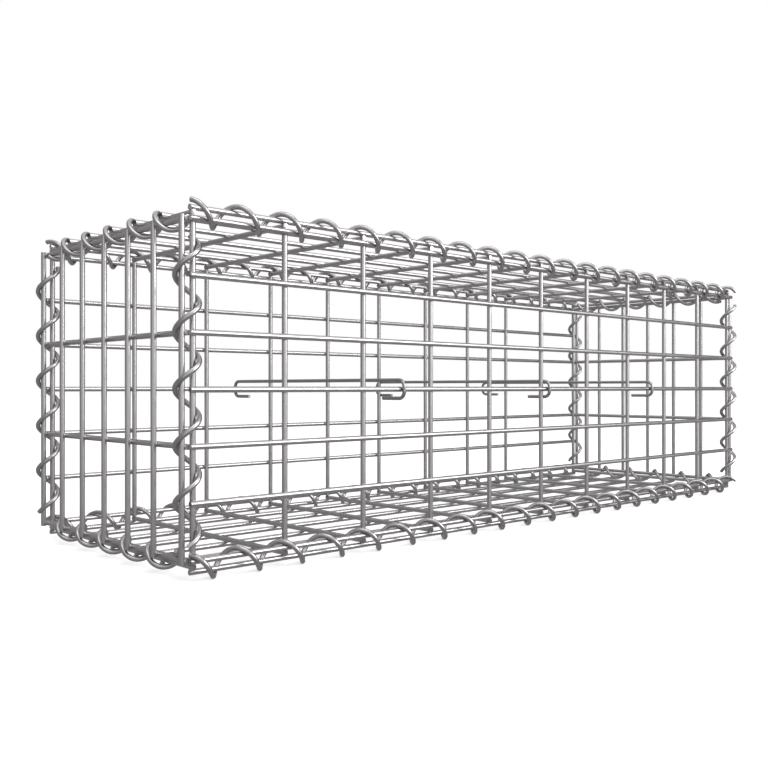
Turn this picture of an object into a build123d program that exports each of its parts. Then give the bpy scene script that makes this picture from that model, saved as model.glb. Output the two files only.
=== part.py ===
import os
from math import ceil, cos, floor, hypot, pi, sin, tau

from build123d import *

# Empty gabion basket: six welded wire mesh panels, bound along their twelve edges by wire spirals,
# with three hooked spacers drawn tight between front and rear. Millimetres, +Z up, +X along the
# basket. The origin is on the ground, under the middle of the basket. Each spiral is turned so
# that it passes between the cross wires that lie near its edge.

# Mesh panels
length_bays = 10  # openings along the basket
depth_bays = 6  # openings from front to rear
height_bays = 6  # openings from base to lid
short_pitch = 50.0  # distance between wires across the basket
long_openings = 2  # how many times longer an opening is than it is high
mesh_wire = 5.5  # diameter of the panel wire
wire_sides = 6  # the wire is drawn as a bar of few sides, corner to corner as wide as the wire
panel_clearance = 0.1  # daylight between the wires of neighbouring panels
row_overhang = 2.5  # front and rear rows run on past their last weld by this much

# Spirals
spiral_wire = 4.3
spiral_slack = 0.15  # daylight between a spiral and the wire that it bears on
spiral_clearance = 0.4  # daylight between spirals that meet at a corner
spiral_sides = 4
steps_per_turn = 8
shortest_step = 0.25  # share of a step that is the least left before a cut end
long_spiral_margin = 5.0  # the long spirals run on past the corner wires by this much
top_front_turn = 0.8  # share of a turn that a spiral is late in reaching its second wire
top_rear_turn = 0.04
bottom_front_turn = 0.48
bottom_rear_turn = 0.52
front_left_turn = 0.08
front_right_turn = 0.92
rear_left_turn = 0.26
rear_right_turn = 0.88
top_left_turn = 0.22
top_right_turn = 0.75
bottom_left_turn = 0.76
bottom_right_turn = 0.25

# Spacers
spacer_wire = 4.0
spacer_openings = 2.5  # openings between an end of the basket and the spacer next to it
spacer_clearance = 0.25  # the middle spacer passes this close beside the middle upright wires
hook_height = 19.5  # between the two legs of a hook
hook_bend = 7.5  # radius of the bends, to the middle of the wire
hook_return = 33.0  # length of the short leg, from the nose of the hook

# A spiral makes one turn to each short opening, so that it meets every wire in the same way
spiral_pitch = short_pitch
openings_to_a_long_one = round(long_openings)
long_pitch = openings_to_a_long_one * short_pitch

# Wires to a panel
length_wires = round(length_bays) + 1
depth_wires = round(depth_bays) + 1
height_wires = round(height_bays) + 1
end_rows = (height_wires - 1) // openings_to_a_long_one + 1

# Places of the wires, from the middle of the basket
half_length = (length_wires - 1) * long_pitch / 2
half_depth = (depth_wires - 1) * short_pitch / 2
half_height = (height_wires - 1) * short_pitch / 2
wire_radius = mesh_wire / 2
layer_step = mesh_wire * cos(pi / wire_sides)
panel_step = layer_step + mesh_wire + panel_clearance
front_upright_y = half_depth + mesh_wire + panel_clearance - layer_step
front_row_y = front_upright_y + layer_step
end_upright_x = half_length + panel_step
end_row_x = end_upright_x - layer_step
lid_row_z = half_height + panel_step
lid_cross_z = lid_row_z - layer_step

# Size of the spirals, which the long edges need most
long_pair = hypot(front_row_y - half_depth, lid_row_z - half_height)
coil_radius = long_pair / 2 + wire_radius + spiral_slack + spiral_wire / 2
corner_radius = coil_radius * 2 / (1 + cos(pi / steps_per_turn))
coil_reach = corner_radius + spiral_wire / 2
long_axis_y = (front_row_y + half_depth) / 2
long_axis_z = (lid_row_z + half_height) / 2
long_spiral_half = half_length + long_spiral_margin
short_stop = coil_reach + spiral_wire / 2 + spiral_clearance
cross_spiral_half = long_axis_y - short_stop
upright_spiral_half = (lid_cross_z + half_height) / 2 - short_stop


def welded_panel(face, rows, row_pitch, row_length, crosses, cross_pitch, cross_length):
    """Rows lie on the outside along the face's x, cross wires inside them along its y."""
    inside = face.offset(-layer_step)
    with BuildPart() as panel:
        with BuildSketch(Plane(face.origin, x_dir=face.y_dir, z_dir=face.x_dir)):
            with GridLocations(row_pitch, 0, rows, 1):
                RegularPolygon(wire_radius, wire_sides, rotation=180 / wire_sides)
        extrude(amount=row_length / 2, both=True)
        with BuildSketch(Plane(inside.origin, x_dir=face.x_dir, z_dir=face.y_dir)):
            with GridLocations(cross_pitch, 0, crosses, 1):
                RegularPolygon(wire_radius, wire_sides, rotation=180 / wire_sides)
        extrude(amount=cross_length / 2, both=True)
    return panel.part


def edge_plane(along, first, second):
    """Axis of the spiral that binds two parallel wires: it bears on the first wire."""
    gap = second - first
    shift = long_pair / 2 - gap.length / 2
    centre = (first + second) / 2 + gap.normalized() * shift
    return Plane(centre, x_dir=gap, z_dir=along)


def spiral(edge, half, mesh_half, late):
    """Right-handed spiral along the edge's z. Its turns are counted from the mesh's first wire."""
    rise = spiral_pitch / steps_per_turn
    lead = late * spiral_pitch - mesh_half
    first = ceil((-half - lead) / rise + shortest_step)
    last = floor((half - lead) / rise - shortest_step)
    corners = []
    for place in (-half, *(lead + rise * step for step in range(first, last + 1)), half):
        turn = tau * (place - lead) / spiral_pitch
        corners.append((corner_radius * cos(turn), corner_radius * sin(turn), place))
    with BuildPart() as coil:
        with BuildLine(edge) as path:
            Polyline(*corners)
        with BuildSketch(Plane(path.line @ 0, z_dir=path.line % 0)):
            RegularPolygon(spiral_wire / 2, spiral_sides)
        sweep(path=path.line, transition=Transition.RIGHT)
    return coil.part


def spacer(x):
    """Straight tie from front to rear, hooked round the middle row at each end."""
    nose = front_row_y + wire_radius + panel_clearance + spacer_wire / 2
    top = hook_height / 2
    tip = nose - hook_return
    with BuildPart() as tie:
        with BuildLine() as path:
            FilletPolyline(
                (x, -tip, -top),
                (x, -nose, -top),
                (x, -nose, top),
                (x, nose, top),
                (x, nose, -top),
                (x, tip, -top),
                radius=hook_bend,
            )
        with BuildSketch(Plane(path.line @ 0, z_dir=path.line % 0)):
            RegularPolygon(spacer_wire / 2, wire_sides)
        sweep(path=path.line)
    return tie.part


# Faces of the panels, with the outside along z
front_face = Plane((0, -front_row_y, 0), x_dir=(1, 0, 0), z_dir=(0, -1, 0))
rear_face = Plane((0, front_row_y, 0), x_dir=(1, 0, 0), z_dir=(0, 1, 0))
left_face = Plane((-end_upright_x, 0, 0), x_dir=(0, 0, 1), z_dir=(-1, 0, 0))
right_face = Plane((end_upright_x, 0, 0), x_dir=(0, 0, 1), z_dir=(1, 0, 0))
lid_face = Plane((0, 0, lid_row_z), x_dir=(1, 0, 0), z_dir=(0, 0, 1))
base_face = Plane((0, 0, -lid_row_z), x_dir=(1, 0, 0), z_dir=(0, 0, -1))

row_length = 2 * half_length + mesh_wire
side_row_length = row_length + 2 * row_overhang
depth_length = 2 * half_depth + mesh_wire
height_length = 2 * half_height + mesh_wire

parts = {}
for name, face in (("front_panel", front_face), ("rear_panel", rear_face)):
    parts[name] = welded_panel(
        face, height_wires, short_pitch, side_row_length, length_wires, long_pitch, height_length
    )
for name, face in (("lid_panel", lid_face), ("base_panel", base_face)):
    parts[name] = welded_panel(
        face, depth_wires, short_pitch, row_length, length_wires, long_pitch, depth_length
    )
for name, face in (("left_end_panel", left_face), ("right_end_panel", right_face)):
    parts[name] = welded_panel(
        face, depth_wires, short_pitch, height_length, end_rows, long_pitch, depth_length
    )

# Spirals along the basket bind the front and rear rows to the rows of the lid and the base
for name, side, level, late in (
    ("spiral_top_front", -1, 1, top_front_turn),
    ("spiral_top_rear", 1, 1, top_rear_turn),
    ("spiral_bottom_front", -1, -1, bottom_front_turn),
    ("spiral_bottom_rear", 1, -1, bottom_rear_turn),
):
    panel_row = Vector(0, side * front_row_y, level * half_height)
    lid_row = Vector(0, side * half_depth, level * lid_row_z)
    edge = edge_plane(Vector(1, 0, 0), panel_row, lid_row)
    parts[name] = spiral(edge, long_spiral_half, half_length, late)

# Spirals across the ends bind the end panels to the cross wires of the lid and the base
for name, end, level, late in (
    ("spiral_top_left", -1, 1, top_left_turn),
    ("spiral_top_right", 1, 1, top_right_turn),
    ("spiral_bottom_left", -1, -1, bottom_left_turn),
    ("spiral_bottom_right", 1, -1, bottom_right_turn),
):
    end_row = Vector(end * end_row_x, 0, level * half_height)
    cross_wire = Vector(end * half_length, 0, level * lid_cross_z)
    edge = edge_plane(Vector(0, 1, 0), end_row, cross_wire)
    parts[name] = spiral(edge, cross_spiral_half, half_depth, late)

# Upright spirals bind the front and rear panels to the end panels
for name, end, side, late in (
    ("spiral_front_left", -1, -1, front_left_turn),
    ("spiral_front_right", 1, -1, front_right_turn),
    ("spiral_rear_left", -1, 1, rear_left_turn),
    ("spiral_rear_right", 1, 1, rear_right_turn),
):
    panel_wire = Vector(end * half_length, side * front_upright_y, 0)
    end_wire = Vector(end * end_upright_x, side * half_depth, 0)
    edge = edge_plane(Vector(0, 0, 1), panel_wire, end_wire)
    parts[name] = spiral(edge, upright_spiral_half, half_height, late)

spacer_x = half_length - spacer_openings * long_pitch
parts["spacer_left"] = spacer(-spacer_x)
parts["spacer_middle"] = spacer(wire_radius + spacer_clearance + spacer_wire / 2)
parts["spacer_right"] = spacer(spacer_x)

# Everything so far is placed about the middle of the basket, which stands on its lowest spirals
to_ground = Location((0, 0, -min(part.bounding_box().min.Z for part in parts.values())))

os.makedirs("parts", exist_ok=True)
for name, part in parts.items():
    standing = part.moved(to_ground)
    standing.label = name
    export_step(standing, f"parts/{name}.step")
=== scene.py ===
"""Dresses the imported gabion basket: round galvanised wires, coiled spirals and bent spacers."""

import logging
import math
from dataclasses import dataclass
from enum import Enum

import bmesh
import bpy
from mathutils import Matrix, Vector


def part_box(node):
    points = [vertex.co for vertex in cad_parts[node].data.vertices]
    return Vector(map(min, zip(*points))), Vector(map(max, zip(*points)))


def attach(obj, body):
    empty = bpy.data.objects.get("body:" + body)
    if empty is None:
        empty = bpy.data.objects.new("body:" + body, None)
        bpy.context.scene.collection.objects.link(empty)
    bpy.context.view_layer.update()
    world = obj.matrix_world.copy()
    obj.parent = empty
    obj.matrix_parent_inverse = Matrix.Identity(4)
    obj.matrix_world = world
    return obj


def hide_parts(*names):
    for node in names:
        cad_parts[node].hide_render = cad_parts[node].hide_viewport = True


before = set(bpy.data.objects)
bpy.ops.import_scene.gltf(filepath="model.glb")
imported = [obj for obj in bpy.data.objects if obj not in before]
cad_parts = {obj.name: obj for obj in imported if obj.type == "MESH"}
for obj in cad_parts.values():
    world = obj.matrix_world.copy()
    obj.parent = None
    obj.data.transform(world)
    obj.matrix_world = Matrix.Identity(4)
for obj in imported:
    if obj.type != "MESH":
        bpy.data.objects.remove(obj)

LOG = logging.getLogger("gabion")
MM = 0.001
PHOTO_PX = 768
WELD_DISTANCE = 0.001 * MM
ROOT = "root"
X_AXIS = Vector((1, 0, 0))
Y_AXIS = Vector((0, 1, 0))
Z_AXIS = Vector((0, 0, 1))


class Level(Enum):
    """Whether a spiral runs along the lid or the base."""

    LID = 1
    BASE = -1

    @property
    def edge(self) -> str:
        """The word for this level's edges in the names of the spirals."""
        return "top" if self is Level.LID else "bottom"


class Side(Enum):
    """Whether a piece is at the front or the rear."""

    FRONT = -1
    REAR = 1


class End(Enum):
    """Whether a piece is at the left or the right end."""

    LEFT = -1
    RIGHT = 1


def linear(shade: str) -> tuple[float, float, float, float]:
    """Turns an sRGB hex value into a linear colour.

    Args:
        shade: Six hex digits after a hash sign.

    Returns:
        Red, green, blue and an alpha of one.
    """
    channels = [int(shade[at : at + 2], 16) / 255 for at in (1, 3, 5)]
    turned = [c / 12.92 if c <= 0.04045 else ((c + 0.055) / 1.055) ** 2.4 for c in channels]
    return (turned[0], turned[1], turned[2], 1.0)


def add_node(tree: bpy.types.NodeTree, kind: str, settings: dict, links: dict) -> bpy.types.Node:
    """Adds one node with its settings and its incoming links.

    Args:
        tree: The tree that gets the node.
        kind: The node's Blender type.
        settings: Properties by name, and socket values by socket name.
        links: Output sockets by the name of the input that each one feeds.

    Returns:
        The new node.
    """
    node = tree.nodes.new(kind)
    for name, value in settings.items():
        if hasattr(node, name):
            setattr(node, name, value)
        else:
            node.inputs[name].default_value = value
    for name, source in links.items():
        tree.links.new(source, node.inputs[name])
    return node


@dataclass(frozen=True)
class GalvanisedWire:
    """Steel wire drawn through a die and dipped in zinc: grey, satin, with faint cloudy patches."""

    name: str
    slot: str
    pale: str
    dull: str
    roughness: float
    patch_mm: float
    grain_mm: float
    grain_depth_mm: float
    smoother_by: float = 0.04
    rougher_by: float = 0.06
    bump_strength: float = 0.35

    def material(self) -> bpy.types.Material:
        """Builds the finish.

        Returns:
            The material, which reads Object coordinates.
        """
        finish = bpy.data.materials.new(self.name)
        finish.use_nodes = True
        tree = finish.node_tree
        tree.nodes.clear()
        place = add_node(tree, "ShaderNodeTexCoord", {}, {}).outputs["Object"]
        # Zinc lies in broad cloudy patches, so a long wire isn't one flat grey
        patches = add_node(
            tree, "ShaderNodeTexNoise", {"Scale": 1 / (self.patch_mm * MM), "Detail": 3.0}, {"Vector": place}
        )
        zinc = add_node(
            tree,
            "ShaderNodeMix",
            {"data_type": "RGBA", "A": linear(self.dull), "B": linear(self.pale)},
            {"Factor": patches.outputs["Fac"]},
        )
        # Fine grain of the drawn and dipped surface, which breaks up the highlight along a wire
        grain = add_node(
            tree, "ShaderNodeTexNoise", {"Scale": 1 / (self.grain_mm * MM), "Detail": 2.0}, {"Vector": place}
        )
        # The dull patches are a little smoother and the pale ones rougher, so the shine wanders
        satin = add_node(
            tree,
            "ShaderNodeMapRange",
            {"To Min": self.roughness - self.smoother_by, "To Max": self.roughness + self.rougher_by},
            {"Value": patches.outputs["Fac"]},
        )
        bump = add_node(
            tree,
            "ShaderNodeBump",
            {"Strength": self.bump_strength, "Distance": self.grain_depth_mm * MM},
            {"Height": grain.outputs["Fac"]},
        )
        shader = add_node(
            tree,
            "ShaderNodeBsdfPrincipled",
            {"Metallic": 1.0},
            {
                "Base Color": zinc.outputs[2],
                "Roughness": satin.outputs["Result"],
                "Normal": bump.outputs["Normal"],
            },
        )
        add_node(tree, "ShaderNodeOutputMaterial", {}, {"Surface": shader.outputs["BSDF"]})
        return finish


MESH_FINISH = GalvanisedWire(
    name="galvanised_mesh_wire",
    slot="mesh_wire",
    pale="#C2BFC1",
    dull="#B2AFB1",
    roughness=0.30,
    patch_mm=9.0,
    grain_mm=0.8,
    grain_depth_mm=0.05,
)
# Same galvanised wire as the mesh, but its pale and dull tones are set darker: painted shade for the shadow
# that gathers in and around the coils
SPIRAL_ZINC_AND_PAINTED_SHADE = GalvanisedWire(
    name="spiral_zinc_and_painted_shade",
    slot="spiral_wire",
    pale="#BAB7B9",
    dull="#A8A5A7",
    roughness=0.30,
    patch_mm=7.0,
    grain_mm=0.7,
    grain_depth_mm=0.05,
)
SPACER_FINISH = GalvanisedWire(
    name="galvanised_spacer_wire",
    slot="spacer_wire",
    pale="#B0ADAF",
    dull="#9E9B9D",
    roughness=0.32,
    patch_mm=7.0,
    grain_mm=0.7,
    grain_depth_mm=0.05,
)
FINISHES = {finish.name: finish.material() for finish in (MESH_FINISH, SPIRAL_ZINC_AND_PAINTED_SHADE, SPACER_FINISH)}


@dataclass
class Wire:
    """One round wire that grows from a cut end, straight or round a bend."""

    mesh: bmesh.types.BMesh
    start: Vector
    heading: Vector
    diameter: float
    sides: int = 14

    def __post_init__(self) -> None:
        """Makes the first cut end."""
        turn = self.heading.normalized().to_track_quat("Z", "Y").to_matrix().to_4x4()
        disc = bmesh.ops.create_circle(
            self.mesh,
            cap_ends=True,
            segments=self.sides,
            radius=self.diameter / 2,
            matrix=Matrix.Translation(self.start) @ turn,
        )
        self.face = disc["verts"][0].link_faces[0]
        self.begun = False

    def _grow(self, geometry: list) -> None:
        """Takes the new end from an operator's result.

        Args:
            geometry: What the operator gives back as its last ring.
        """
        self.face = next(item for item in geometry if isinstance(item, bmesh.types.BMFace))
        self.begun = True

    def straight(self, length: float) -> None:
        """Runs straight on.

        Args:
            length: How far, in metres.
        """
        grown = bmesh.ops.extrude_face_region(self.mesh, geom=[self.face], use_keep_orig=not self.begun)
        self._grow(grown["geom"])
        bmesh.ops.translate(self.mesh, vec=self.heading.normalized() * length, verts=list(self.face.verts))

    def turn(self, centre: Vector, axis: Vector, angle: float, steps: int, rise: float = 0.0) -> None:
        """Bends round an axis, with a rise along it for a spiral.

        Args:
            centre: A point of the axis.
            axis: The direction of the axis.
            angle: The whole angle, in radians.
            steps: How many straight steps stand for the bend.
            rise: How far the wire climbs along the axis in all.
        """
        spun = bmesh.ops.spin(
            self.mesh,
            geom=[self.face],
            cent=centre,
            axis=axis,
            dvec=axis.normalized() * rise / steps,
            angle=angle,
            steps=steps,
            use_merge=False,
        )
        self._grow(spun["geom_last"])
        self.heading = Matrix.Rotation(angle, 3, axis) @ self.heading


def finish_piece(mesh: bmesh.types.BMesh, name: str, node: str, finish: GalvanisedWire) -> bpy.types.Object:
    """Turns a bmesh into a dressed piece that stands for a CAD node.

    Args:
        mesh: The finished bmesh, in metres, in the row frame.
        name: The piece's name.
        node: The CAD node that it replaces.
        finish: What the piece is made of.

    Returns:
        The piece, at the origin.
    """
    bmesh.ops.remove_doubles(mesh, verts=mesh.verts, dist=WELD_DISTANCE)
    bmesh.ops.recalc_face_normals(mesh, faces=mesh.faces)
    # The flanks of a wire are smooth. Its cut ends and the small weld collars stay flat, with a crisp rim
    for face in mesh.faces:
        face.smooth = len(face.verts) == 4
    for edge in mesh.edges:
        edge.smooth = all(face.smooth for face in edge.link_faces)
    data = bpy.data.meshes.new(name)
    mesh.to_mesh(data)
    mesh.free()
    piece = bpy.data.objects.new(name, data)
    bpy.context.scene.collection.objects.link(piece)
    data.materials.append(FINISHES[finish.name])
    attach(piece, ROOT)
    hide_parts(node)
    LOG.info("%s: %d faces", name, len(data.polygons))
    return piece


@dataclass
class Basket:
    """The sizes that all pieces share, in metres."""

    length_bays: int = 10
    depth_bays: int = 6
    height_bays: int = 6
    long_openings: int = 2
    short_pitch: float = 50 * MM
    mesh_wire: float = 5.5 * MM
    clearance: float = 0.1 * MM
    row_overhang: float = 2.5 * MM
    bar_sides: int = 6
    long_spiral_margin: float = 4.5 * MM
    short_spiral_half: float = 136.5 * MM
    spacer_openings: float = 2.5
    spacer_clearance: float = 0.25 * MM

    def __post_init__(self) -> None:
        """Works out where the wires lie, from the frame's height and the driving sizes."""
        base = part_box("base_panel")[0][2]
        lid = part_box("lid_panel")[1][2]
        self.middle = (base + lid) / 2
        self.long_pitch = self.long_openings * self.short_pitch
        self.half_length = self.length_bays * self.long_pitch / 2
        self.half_depth = self.depth_bays * self.short_pitch / 2
        self.half_height = self.height_bays * self.short_pitch / 2
        self.layer_step = self.mesh_wire * math.cos(math.pi / self.bar_sides)
        self.panel_step = self.layer_step + self.mesh_wire + self.clearance
        self.front_upright_y = self.half_depth + self.mesh_wire + self.clearance - self.layer_step
        self.front_row_y = self.front_upright_y + self.layer_step
        self.end_upright_x = self.half_length + self.panel_step
        self.end_row_x = self.end_upright_x - self.layer_step
        self.lid_row_z = self.half_height + self.panel_step
        self.lid_cross_z = self.lid_row_z - self.layer_step


@dataclass
class MeshPanel:
    """A welded panel: rows on the outside, cross wires pressed into them from the inside."""

    node: str
    origin: Vector
    along: Vector
    outward: Vector
    rows: int
    row_pitch: float
    row_half: float
    crosses: int
    cross_pitch: float
    cross_half: float
    wire: float
    layer_step: float
    weld_radius: float = 2.95 * MM
    weld_height: float = 1.5 * MM
    weld_detail: int = 2

    def wires(
        self,
        mesh: bmesh.types.BMesh,
        count: int,
        pitch: float,
        run: Vector,
        spread: Vector,
        middle: Vector,
        half: float,
    ) -> None:
        """Lays parallel wires side by side.

        Args:
            mesh: What the wires are added to.
            count: How many wires.
            pitch: The distance between them.
            run: The direction in which they run.
            spread: The direction in which they lie side by side.
            middle: The middle of the set.
            half: Half the length of a wire.
        """
        for index in range(count):
            offset = (index - (count - 1) / 2) * pitch
            start = middle + spread * offset - run * half
            Wire(mesh, start, run, self.wire).straight(2 * half)

    def build(self) -> bpy.types.Object:
        """Builds the panel.

        Returns:
            The dressed panel.
        """
        mesh = bmesh.new()
        across = self.outward.cross(self.along)
        inside = self.origin - self.outward * self.layer_step
        self.wires(mesh, self.rows, self.row_pitch, self.along, across, self.origin, self.row_half)
        self.wires(mesh, self.crosses, self.cross_pitch, across, self.along, inside, self.cross_half)
        self.welds(mesh, across)
        return finish_piece(mesh, self.node, self.node, MESH_FINISH)

    def welds(self, mesh: bmesh.types.BMesh, across: Vector) -> None:
        """Adds the little collar of pressed metal at each crossing.

        Args:
            mesh: What the collars are added to.
            across: The direction of the cross wires.
        """
        seam = self.origin - self.outward * self.layer_step / 2
        flat = Matrix.Diagonal((self.weld_radius, self.weld_radius, self.weld_height, 1.0))
        turn = self.outward.to_track_quat("Z", "Y").to_matrix().to_4x4()
        for row in range(self.rows):
            for cross in range(self.crosses):
                place = (
                    seam
                    + across * (row - (self.rows - 1) / 2) * self.row_pitch
                    + self.along * (cross - (self.crosses - 1) / 2) * self.cross_pitch
                )
                bmesh.ops.create_icosphere(
                    mesh,
                    subdivisions=self.weld_detail,
                    radius=1.0,
                    matrix=Matrix.Translation(place) @ turn @ flat,
                )


@dataclass
class Spiral:
    """A right-handed coil that binds two parallel wires."""

    node: str
    first: Vector
    second: Vector
    along: Vector
    half: float
    late: float
    bound_wire: float
    pitch: float
    wire: float = 5.0 * MM
    widest: float = 8.45 * MM
    steps: int = 32
    sides: int = 14

    def build(self) -> bpy.types.Object:
        """Coils the wire.

        Returns:
            The dressed spiral.
        """
        gap = self.second - self.first
        out = gap.normalized()
        centre = (self.first + self.second) / 2
        radius = min(gap.length / 2 + self.bound_wire / 2, self.widest) + self.wire / 2
        side = self.along.cross(out)
        start_along = -self.half
        phase = math.tau * (start_along / self.pitch - self.late)
        spoke = (out * math.cos(phase) + side * math.sin(phase)) * radius
        start = centre + self.along * start_along + spoke
        rise = self.pitch / (math.tau * radius)
        heading = side * math.cos(phase) - out * math.sin(phase) + self.along * rise
        turns = 2 * self.half / self.pitch
        mesh = bmesh.new()
        coil = Wire(mesh, start, heading, self.wire, self.sides)
        coil.turn(centre, self.along, math.tau * turns, round(self.steps * turns), 2 * self.half)
        # The coil's material carries painted shade: its tones are darker than the mesh wire's own
        return finish_piece(mesh, self.node, self.node, SPIRAL_ZINC_AND_PAINTED_SHADE)


@dataclass
class Spacer:
    """A tie bent from one wire: straight from front to rear, hooked round a row at each end."""

    node: str
    x: float
    middle: float
    nose: float
    hook_height: float = 19.5 * MM
    bend: float = 7.5 * MM
    hook_return: float = 33 * MM
    wire: float = 4 * MM
    bend_steps: int = 10
    sides: int = 16

    def build(self) -> bpy.types.Object:
        """Bends the wire.

        Returns:
            The dressed spacer.
        """
        mesh = bmesh.new()
        top = self.middle + self.hook_height / 2
        bottom = self.middle - self.hook_height / 2
        y = -(self.nose - self.hook_return)
        tie = Wire(mesh, Vector((self.x, y, bottom)), -Y_AXIS, self.wire, self.sides)
        front = -self.nose + self.bend
        tie.straight(self.hook_return - self.bend)
        for height in (bottom + self.bend, top - self.bend):
            if height > self.middle:
                tie.straight(self.hook_height - 2 * self.bend)
            tie.turn(Vector((self.x, front, height)), -X_AXIS, math.pi / 2, self.bend_steps)
        tie.straight(2 * (self.nose - self.bend))
        for height in (top - self.bend, bottom + self.bend):
            if height < self.middle:
                tie.straight(self.hook_height - 2 * self.bend)
            tie.turn(Vector((self.x, -front, height)), -X_AXIS, math.pi / 2, self.bend_steps)
        tie.straight(self.hook_return - self.bend)
        return finish_piece(mesh, self.node, self.node, SPACER_FINISH)


def tree_max(
    tree: bpy.types.NodeTree, one: bpy.types.NodeSocket, other: bpy.types.NodeSocket
) -> bpy.types.NodeSocket:
    """Gives the larger of two values as a socket."""
    larger = add_node(tree, "ShaderNodeMath", {"operation": "MAXIMUM"}, {0: one, 1: other})
    return larger.outputs["Value"]


@dataclass(frozen=True)
class SoftBox:
    """A soft lamp, placed and sized in metres, with its power in watts."""

    name: str
    place: tuple[float, float, float]
    size: tuple[float, float]
    power: float


@dataclass(frozen=True)
class Flag:
    """A curved grey card that only reflections see: it darkens the flanks that face it."""

    name: str
    sector_deg: tuple[float, float]
    shade: float


SOFT_BOXES = (
    SoftBox("soft_box_right", (1.1, -2.1, 1.05), (1.9, 1.0), 40.0),
    SoftBox("soft_box_top", (-0.5, -0.9, 2.2), (1.8, 0.5), 12.0),
)
FLAGS = (
    Flag("far_flag", (-30.0, 75.0), 0.12),
    Flag("left_flag", (75.0, 200.0), 0.37),
)


@dataclass
class Studio:
    """White floor and background, soft lamps and the photograph's camera."""

    camera_mm: tuple[float, float, float] = (-907.5, -835.0, 170.0)
    yaw_deg: float = 42.90
    focal_px: float = 887.1
    centre_px: tuple[float, float] = (382.6, 387.1)
    sensor_mm: float = 36.0
    nearest: float = 0.01
    aim_height: float = 0.15
    ambient: float = 0.7
    floor_size: float = 30.0
    floor_paint: str = "#F2F2F2"
    floor_glow: float = 0.5
    flag_radius: float = 2.0
    flag_height: float = 2.0
    flag_steps: int = 24
    floor_flag_sides: int = 48
    floor_flag_lift: float = 0.5 * MM
    floor_shade: float = 0.33

    def camera(self) -> None:
        """Places the camera at the photograph's viewpoint."""
        data = bpy.data.cameras.new("photo_camera")
        data.sensor_width = self.sensor_mm
        data.lens = self.focal_px * self.sensor_mm / PHOTO_PX
        middle = (PHOTO_PX - 1) / 2
        data.shift_x = (middle - self.centre_px[0]) / PHOTO_PX
        data.shift_y = (self.centre_px[1] - middle) / PHOTO_PX
        data.clip_start = self.nearest
        camera = bpy.data.objects.new("photo_camera", data)
        camera.location = Vector(self.camera_mm) * MM
        camera.rotation_euler = (math.pi / 2, 0, -math.radians(self.yaw_deg))
        bpy.context.scene.collection.objects.link(camera)
        bpy.context.scene.camera = camera

    def seen_white(self, tree: bpy.types.NodeTree) -> bpy.types.NodeSocket:
        """Tells the rays that should see white from the rest.

        Args:
            tree: The tree that gets the nodes.

        Returns:
            A socket that is one for camera, glossy and transmission rays.
        """
        path = add_node(tree, "ShaderNodeLightPath", {}, {})
        seen = path.outputs["Is Camera Ray"]
        for other in ("Is Glossy Ray", "Is Transmission Ray"):
            seen = tree_max(tree, seen, path.outputs[other])
        return seen

    def world(self) -> None:
        """Lights the object from all round, and shows white."""
        world = bpy.data.worlds.new("studio")
        bpy.context.scene.world = world
        world.use_nodes = True
        tree = world.node_tree
        tree.nodes.clear()
        strength = add_node(
            tree,
            "ShaderNodeMapRange",
            {"To Min": self.ambient, "To Max": 1.0},
            {"Value": self.seen_white(tree)},
        )
        light = add_node(
            tree, "ShaderNodeBackground", {"Color": (1, 1, 1, 1)}, {"Strength": strength.outputs["Result"]}
        )
        add_node(tree, "ShaderNodeOutputWorld", {}, {"Surface": light.outputs["Background"]})

    def floor(self) -> None:
        """Lays the white floor, which keeps the object's shadow."""
        paint = bpy.data.materials.new("white_studio_floor")
        paint.use_nodes = True
        tree = paint.node_tree
        tree.nodes.clear()
        matt = add_node(tree, "ShaderNodeBsdfDiffuse", {"Color": linear(self.floor_paint)}, {})
        lift = add_node(tree, "ShaderNodeMath", {"operation": "MULTIPLY"}, {0: self.seen_white(tree)})
        lift.inputs[1].default_value = self.floor_glow
        glow = add_node(
            tree, "ShaderNodeEmission", {"Color": (1, 1, 1, 1)}, {"Strength": lift.outputs["Value"]}
        )
        both = add_node(
            tree, "ShaderNodeAddShader", {}, {0: matt.outputs["BSDF"], 1: glow.outputs["Emission"]}
        )
        add_node(tree, "ShaderNodeOutputMaterial", {}, {"Surface": both.outputs["Shader"]})
        mesh = bmesh.new()
        bmesh.ops.create_grid(mesh, x_segments=1, y_segments=1, size=self.floor_size / 2)
        data = bpy.data.meshes.new("studio_floor")
        mesh.to_mesh(data)
        mesh.free()
        data.materials.append(paint)
        floor = bpy.data.objects.new("studio_floor", data)
        bpy.context.scene.collection.objects.link(floor)

    def lamp(self, box: SoftBox) -> None:
        """Hangs a soft box that points at the middle of the basket.

        Args:
            box: The lamp to hang.
        """
        data = bpy.data.lights.new(box.name, "AREA")
        data.shape = "RECTANGLE"
        data.size, data.size_y = box.size
        data.energy = box.power
        lamp = bpy.data.objects.new(box.name, data)
        lamp.location = box.place
        aim = Vector((0, 0, self.aim_height)) - Vector(box.place)
        lamp.rotation_euler = aim.to_track_quat("-Z", "Y").to_euler()
        bpy.context.scene.collection.objects.link(lamp)

    def flag(self, flag: Flag) -> None:
        """Stands a curved card round part of the set, from its first angle to its second, +X towards +Y.

        Args:
            flag: The card to stand up.
        """
        start, end = (math.radians(angle) for angle in flag.sector_deg)
        mesh = bmesh.new()
        foot = Vector((math.cos(start), math.sin(start), 0)) * self.flag_radius
        upright = [mesh.verts.new(foot), mesh.verts.new(foot + Z_AXIS * self.flag_height)]
        edge = mesh.edges.new(upright)
        bmesh.ops.spin(
            mesh,
            geom=[*upright, edge],
            cent=(0, 0, 0),
            axis=Z_AXIS,
            angle=end - start,
            steps=self.flag_steps,
        )
        self.card(mesh, flag.name, flag.shade)

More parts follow.
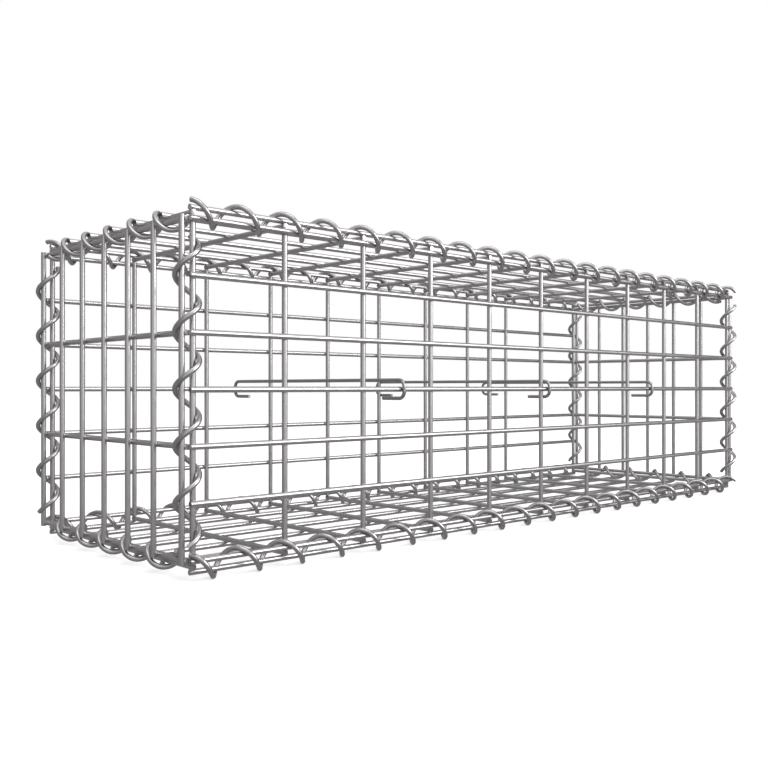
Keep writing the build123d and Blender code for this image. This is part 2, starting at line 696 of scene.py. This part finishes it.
    def card(self, mesh: bmesh.types.BMesh, name: str, shade: float) -> None:
        """Turns a bmesh into a card of one grey that only reflections see.

        Args:
            mesh: The card's shape.
            name: The card's name.
            shade: How bright it looks.
        """
        paint = bpy.data.materials.new(name)
        paint.use_nodes = True
        tree = paint.node_tree
        tree.nodes.clear()
        glow = add_node(tree, "ShaderNodeEmission", {"Color": (1, 1, 1, 1), "Strength": shade}, {})
        add_node(tree, "ShaderNodeOutputMaterial", {}, {"Surface": glow.outputs["Emission"]})
        data = bpy.data.meshes.new(name)
        mesh.to_mesh(data)
        mesh.free()
        data.materials.append(paint)
        card = bpy.data.objects.new(name, data)
        card.visible_camera = False
        card.visible_diffuse = False
        card.visible_shadow = False
        bpy.context.scene.collection.objects.link(card)

    def floor_flag(self) -> None:
        """Lays a grey card on the floor round the basket."""
        mesh = bmesh.new()
        bmesh.ops.create_circle(
            mesh,
            cap_ends=True,
            segments=self.floor_flag_sides,
            radius=self.flag_radius,
            matrix=Matrix.Translation(Z_AXIS * self.floor_flag_lift),
        )
        self.card(mesh, "floor_flag", self.floor_shade)

    def build(self) -> None:
        """Sets up the whole studio."""
        self.camera()
        self.world()
        self.floor()
        for box in SOFT_BOXES:
            self.lamp(box)
        for flag in FLAGS:
            self.flag(flag)
        self.floor_flag()
        bpy.context.scene.view_settings.view_transform = "Standard"


def panels(basket: Basket) -> list[MeshPanel]:
    """Lists the six panels.

    Args:
        basket: The shared sizes.

    Returns:
        The panels, not yet built.
    """
    half_wire = basket.mesh_wire / 2
    length_half = basket.half_length + half_wire
    depth_half = basket.half_depth + half_wire
    height_half = basket.half_height + half_wire
    shared = {
        "row_pitch": basket.short_pitch,
        "cross_pitch": basket.long_pitch,
        "wire": basket.mesh_wire,
        "layer_step": basket.layer_step,
    }
    found = []
    for side in Side:
        found.append(
            MeshPanel(
                node=f"{side.name.lower()}_panel",
                origin=Vector((0, side.value * basket.front_row_y, basket.middle)),
                along=X_AXIS,
                outward=Y_AXIS * side.value,
                rows=basket.height_bays + 1,
                row_half=length_half + basket.row_overhang,
                crosses=basket.length_bays + 1,
                cross_half=height_half,
                **shared,
            )
        )
    for level in Level:
        found.append(
            MeshPanel(
                node=f"{level.name.lower()}_panel",
                origin=Vector((0, 0, basket.middle + level.value * basket.lid_row_z)),
                along=X_AXIS,
                outward=Z_AXIS * level.value,
                rows=basket.depth_bays + 1,
                row_half=length_half,
                crosses=basket.length_bays + 1,
                cross_half=depth_half,
                **shared,
            )
        )
    for end in End:
        found.append(
            MeshPanel(
                node=f"{end.name.lower()}_end_panel",
                origin=Vector((end.value * basket.end_upright_x, 0, basket.middle)),
                along=Z_AXIS,
                outward=X_AXIS * end.value,
                rows=basket.depth_bays + 1,
                row_half=height_half,
                crosses=basket.height_bays // basket.long_openings + 1,
                cross_half=depth_half,
                **shared,
            )
        )
    return found


# Share of a turn by which each spiral is late in reaching its second wire
LONG_TURNS = {
    (Level.LID, Side.FRONT): 0.8,
    (Level.LID, Side.REAR): 0.04,
    (Level.BASE, Side.FRONT): 0.48,
    (Level.BASE, Side.REAR): 0.52,
}
CROSS_TURNS = {
    (Level.LID, End.LEFT): 0.22,
    (Level.LID, End.RIGHT): 0.75,
    (Level.BASE, End.LEFT): 0.76,
    (Level.BASE, End.RIGHT): 0.25,
}
UPRIGHT_TURNS = {
    (Side.FRONT, End.LEFT): 0.08,
    (Side.FRONT, End.RIGHT): 0.92,
    (Side.REAR, End.LEFT): 0.26,
    (Side.REAR, End.RIGHT): 0.88,
}


def spirals(basket: Basket) -> list[Spiral]:
    """Lists the twelve spirals.

    Args:
        basket: The shared sizes.

    Returns:
        The spirals, not yet built.
    """
    shared = {"bound_wire": basket.mesh_wire, "pitch": basket.short_pitch}
    long_half = basket.half_length + basket.long_spiral_margin
    short_half = basket.short_spiral_half
    middle = basket.middle
    found = []
    for (level, side), late in LONG_TURNS.items():
        row = Vector((0, side.value * basket.front_row_y, middle + level.value * basket.half_height))
        lid_row = Vector((0, side.value * basket.half_depth, middle + level.value * basket.lid_row_z))
        name = f"spiral_{level.edge}_{side.name.lower()}"
        found.append(Spiral(name, row, lid_row, X_AXIS, long_half, late, **shared))
    for (level, end), late in CROSS_TURNS.items():
        row = Vector((end.value * basket.end_row_x, 0, middle + level.value * basket.half_height))
        cross = Vector((end.value * basket.half_length, 0, middle + level.value * basket.lid_cross_z))
        name = f"spiral_{level.edge}_{end.name.lower()}"
        found.append(Spiral(name, row, cross, Y_AXIS, short_half, late, **shared))
    for (side, end), late in UPRIGHT_TURNS.items():
        upright = Vector((end.value * basket.half_length, side.value * basket.front_upright_y, middle))
        end_wire = Vector((end.value * basket.end_upright_x, side.value * basket.half_depth, middle))
        name = f"spiral_{side.name.lower()}_{end.name.lower()}"
        found.append(Spiral(name, upright, end_wire, Z_AXIS, short_half, late, **shared))
    return found


def spacers(basket: Basket) -> list[Spacer]:
    """Lists the three spacers.

    Args:
        basket: The shared sizes.

    Returns:
        The spacers, not yet built.
    """
    half_wire = basket.mesh_wire / 2
    nose = basket.front_row_y + half_wire + basket.clearance + Spacer.wire / 2
    outer_x = basket.half_length - basket.spacer_openings * basket.long_pitch
    middle_x = half_wire + basket.spacer_clearance + Spacer.wire / 2
    places = (("spacer_left", -outer_x), ("spacer_middle", middle_x), ("spacer_right", outer_x))
    return [Spacer(name, x, basket.middle, nose) for name, x in places]


def main() -> None:
    """Builds the basket piece by piece, then the studio."""
    logging.basicConfig(level=logging.INFO, format="%(name)s %(message)s")
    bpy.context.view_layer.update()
    basket = Basket()
    for piece in (*panels(basket), *spirals(basket), *spacers(basket)):
        piece.build()
    Studio().build()


if __name__ == "__main__":
    main()
